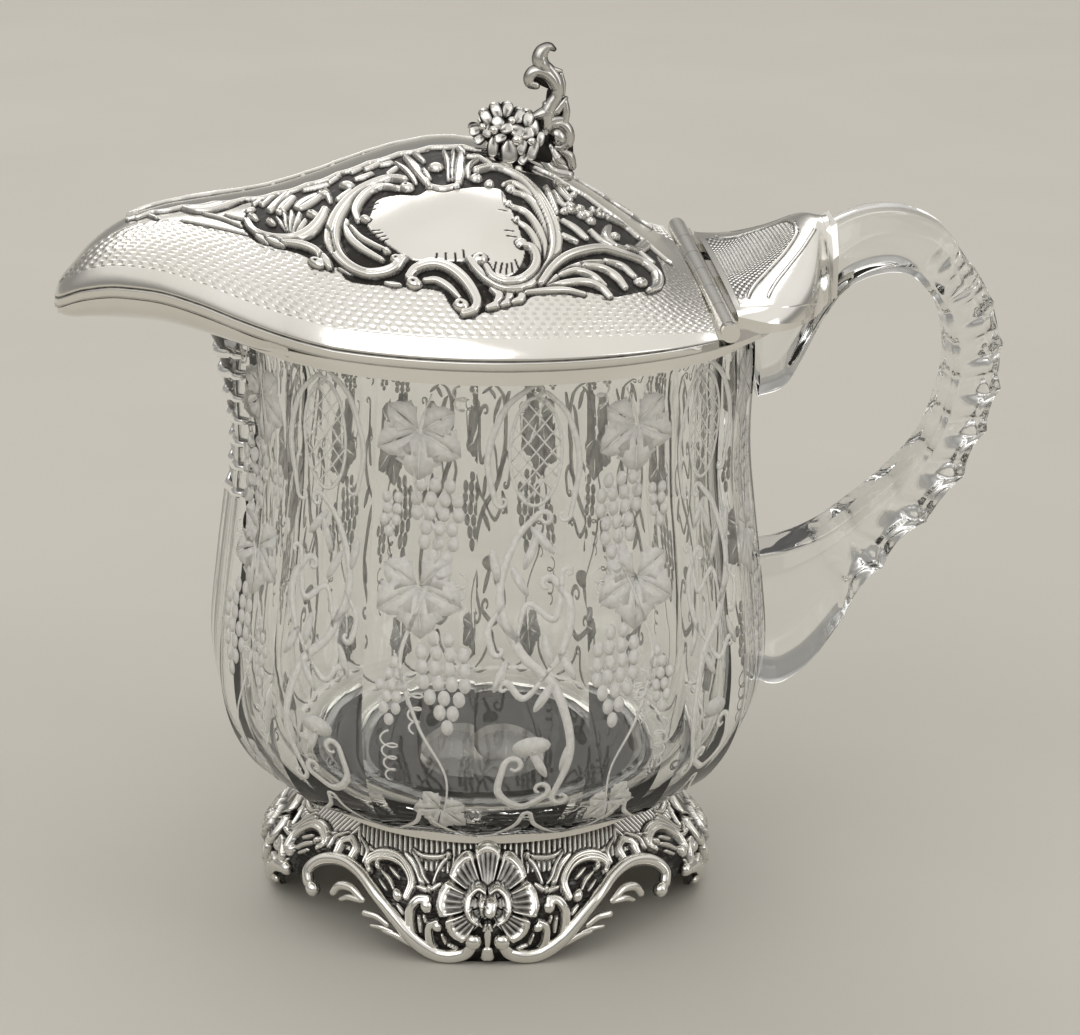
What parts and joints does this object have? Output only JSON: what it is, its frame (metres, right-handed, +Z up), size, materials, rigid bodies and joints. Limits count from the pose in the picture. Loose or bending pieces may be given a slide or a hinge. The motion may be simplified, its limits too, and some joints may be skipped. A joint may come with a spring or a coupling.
{
  "type": "lidded glass jug",
  "caption": "Claret jug of faceted engraved glass with loop handle, beak spout, hinged silver lid with floral finial, and pierced scroll foot.",
  "frame": {"origin": "on the axis of the glass body, in the plane the feet stand on", "axes": "+Z up along the body's axis; +X towards the handle, -X towards the beak; +Y the far side"},
  "size_m": [0.25, 0.1604, 0.2322],
  "materials": {
    "glass": "cut, engraved",
    "silver": "oxidised silver",
    "plaster": "plaster"
  },
  "bodies": {
    "jug": {"foot_skirt": "silver", "foot_band": "silver", "foot_seat": "silver", "foot_plaster": "plaster", "foot_border_near": "silver", "foot_border_far": "silver", "foot_border_spout": "silver", "foot_border_handle": "silver", "foot_shell_near": "silver", "foot_shell_far": "silver", "foot_shell_spout": "silver", "foot_shell_handle": "silver", "glass_body": "glass", "glass_handle": "glass", "collar_band": "silver", "collar_plaster": "plaster", "collar_flange": "silver", "spout_trough": "silver", "rear_plate": "silver", "handle_cuff": "silver", "hinge_pin": "silver", "pin_cap_near": "silver", "pin_cap_far": "silver", "rear_knuckle_near": "silver", "rear_knuckle_middle": "silver", "rear_knuckle_far": "silver"},
    "lid": {"lid_shell": "silver", "lid_knuckle_near": "silver", "lid_knuckle_middle": "silver", "lid_knuckle_far": "silver", "finial_scroll": "silver", "finial_spray": "silver"}
  },
  "joints": [
    {"name": "lid_hinge", "type": "hinge", "parent": "jug", "child": "lid", "pos_m": [0.0557, 0, 0.1698], "axis": [0, 1, 0], "range_deg": [0, 95]}
  ]
}
